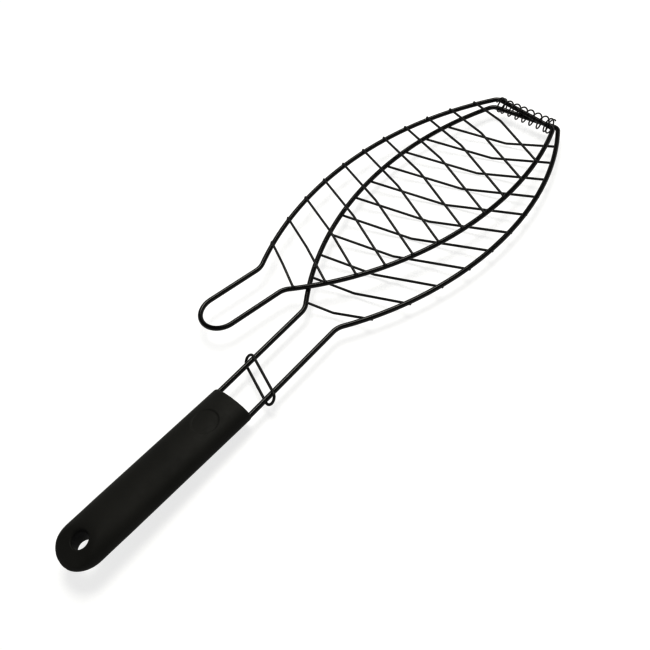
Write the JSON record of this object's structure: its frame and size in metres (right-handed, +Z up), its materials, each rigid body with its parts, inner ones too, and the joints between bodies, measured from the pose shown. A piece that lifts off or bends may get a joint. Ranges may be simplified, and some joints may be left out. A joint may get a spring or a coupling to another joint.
{
  "type": "fish grill basket",
  "caption": "Hinged fish-shaped wire grill basket, black coated, with a spiral coil hinge, sliding lock ring and moulded handle with a hanging hole.",
  "frame": {"origin": "centre of the hanging hole in the handle", "axes": "+Y along the handle towards the basket's hinge, +Z up through the lid, +X across the basket"},
  "size_m": [0.1702, 0.5342, 0.0271],
  "materials": {
    "coated_wire": "satin black non-stick coating",
    "coil_wire": "satin black non-stick coating on thin spring wire",
    "ring_wire": "satin black coating",
    "grip": "matte black, fine moulded texture"
  },
  "bodies": {
    "base": {"base_frame": "coated_wire", "base_rib_1": "coated_wire", "base_rib_2": "coated_wire", "base_rib_3": "coated_wire", "base_rib_4": "coated_wire", "base_rib_5": "coated_wire", "base_rib_6": "coated_wire", "base_rib_7": "coated_wire", "base_rib_8": "coated_wire", "base_rib_9": "coated_wire", "base_rib_10": "coated_wire", "base_rib_11": "coated_wire", "handle": "grip"},
    "coil": {"hinge_coil": "coil_wire"},
    "lid": {"lid_frame": "coated_wire", "lid_rib_1": "coated_wire", "lid_rib_2": "coated_wire", "lid_rib_3": "coated_wire", "lid_rib_4": "coated_wire", "lid_rib_5": "coated_wire", "lid_rib_6": "coated_wire", "lid_rib_7": "coated_wire", "lid_rib_8": "coated_wire", "lid_rib_9": "coated_wire", "lid_rib_10": "coated_wire", "lid_rib_11": "coated_wire"},
    "ring": {"lock_ring": "ring_wire"}
  },
  "joints": [
    {"name": "lid_open", "type": "hinge", "parent": "base", "child": "coil", "pos_m": [0, 0.5064, -0.00533], "axis": [-1, 0, 0], "range_deg": [0, 175]},
    {"name": "lid_swing", "type": "hinge", "parent": "coil", "child": "lid", "pos_m": [0, 0.5064, -0.00123], "axis": [-0.061, 0, 0.9981], "range_deg": [0, 12]},
    {"name": "ring_slide", "type": "slide", "parent": "base", "child": "ring", "axis": [0, 1, 0], "range_m": [-0.013, 0.043]}
  ]
}
